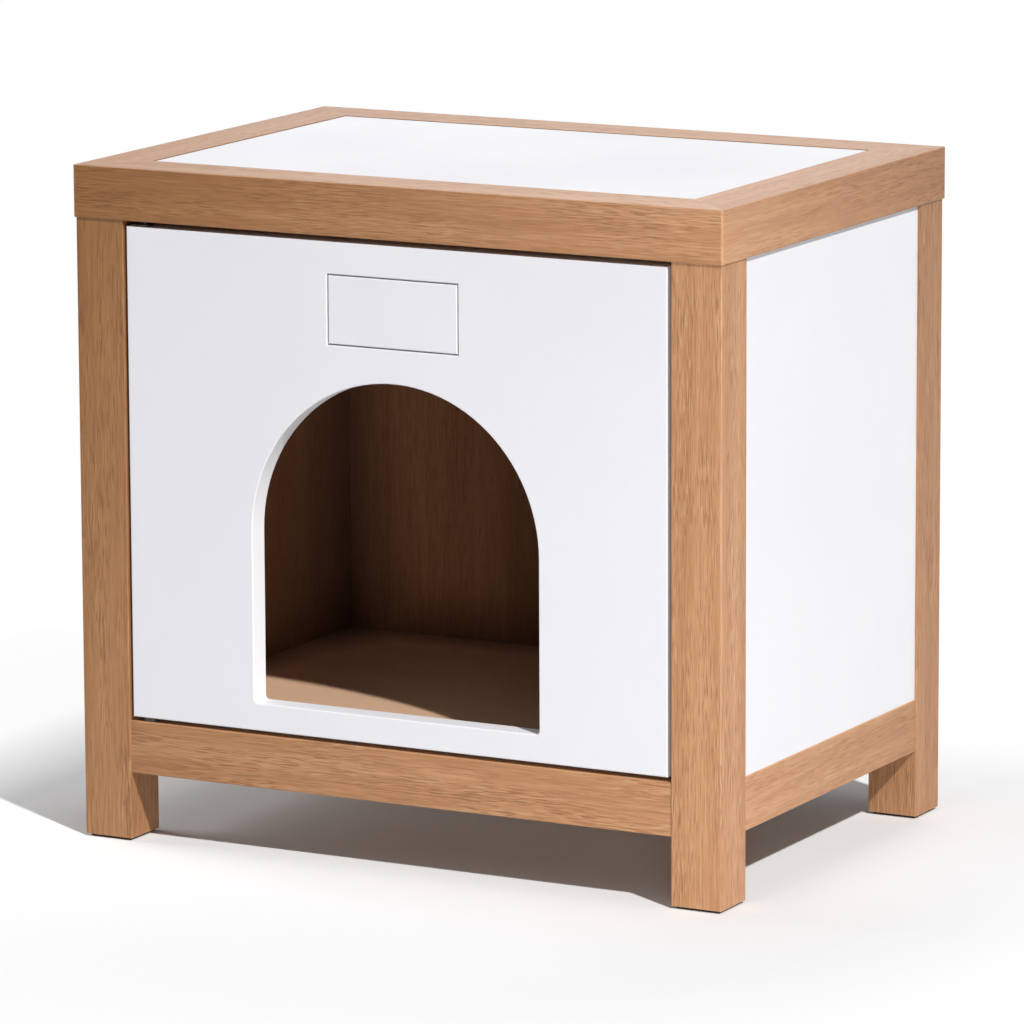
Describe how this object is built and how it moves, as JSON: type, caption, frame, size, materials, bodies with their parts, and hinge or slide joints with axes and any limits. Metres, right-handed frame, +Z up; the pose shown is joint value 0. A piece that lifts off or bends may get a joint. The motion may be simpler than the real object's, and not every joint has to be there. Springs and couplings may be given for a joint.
{
  "type": "cat house",
  "caption": "Cabinet-style cat house: oak frame on legs, white panels, a hinged door with an arched way in, a blank name plate, a lined cabin and a flat top.",
  "frame": {"origin": "middle of the footprint on the floor", "axes": "+X to the right seen from the front, +Y to the rear, +Z up; the door is in the -Y face"},
  "size_m": [0.533, 0.373, 0.506],
  "materials": {
    "oak": "clear matt lacquer over light oak grain",
    "oak_faced_board": "smooth oak-look facing",
    "white_lacquer": "satin white lacquer on fibreboard",
    "dark_rubber": "matt",
    "beech": "bare wood",
    "zinc": "die-cast zinc",
    "blackened_steel": "blackened and oiled",
    "steel": "bright zinc plate",
    "nylon": "dark brown nylon",
    "catch_plastic": "moulded white plastic",
    "magnet": "dark ferrite",
    "tape": "foam tape"
  },
  "bodies": {
    "frame": {"front_left_post": "oak", "front_right_post": "oak", "rear_left_post": "oak", "rear_right_post": "oak", "front_bottom_rail": "oak", "right_bottom_rail": "oak", "rear_bottom_rail": "oak", "left_bottom_rail": "oak", "cap_front_rail": "oak", "cap_right_rail": "oak", "cap_rear_rail": "oak", "cap_left_rail": "oak", "left_lining": "oak_faced_board", "right_lining": "oak_faced_board", "rear_lining": "oak_faced_board", "floor_board": "oak_faced_board", "top_panel": "white_lacquer", "left_wall_panel": "white_lacquer", "right_wall_panel": "white_lacquer", "rear_wall_panel": "white_lacquer", "front_left_foot_pad": "dark_rubber", "front_right_foot_pad": "dark_rubber", "rear_left_foot_pad": "dark_rubber", "rear_right_foot_pad": "dark_rubber", "rail_dowels": "beech", "cap_dowels": "beech", "mitre_splines": "beech", "rail_cams": "zinc", "cap_cams": "zinc", "lower_pivot_pin": "blackened_steel", "upper_pivot_pin": "blackened_steel", "rail_cam_bolts": "steel", "cap_cam_bolts": "steel", "lining_screws": "steel", "floor_screws": "steel", "catch_screws": "steel", "catch_pole_plates": "steel", "door_thrust_washer": "nylon", "catch_body": "catch_plastic", "catch_magnet": "magnet"},
    "door": {"door_panel": "white_lacquer", "name_plate": "white_lacquer", "plate_tape": "tape", "lower_pivot_bush": "nylon", "upper_pivot_bush": "nylon", "catch_strike_plate": "steel", "strike_screws": "steel"}
  },
  "joints": [
    {"name": "door_swing", "type": "hinge", "parent": "frame", "child": "door", "pos_m": [-0.21061, -0.177, 0.279], "axis": [0, 0, -1], "range_deg": [0, 115]}
  ]
}
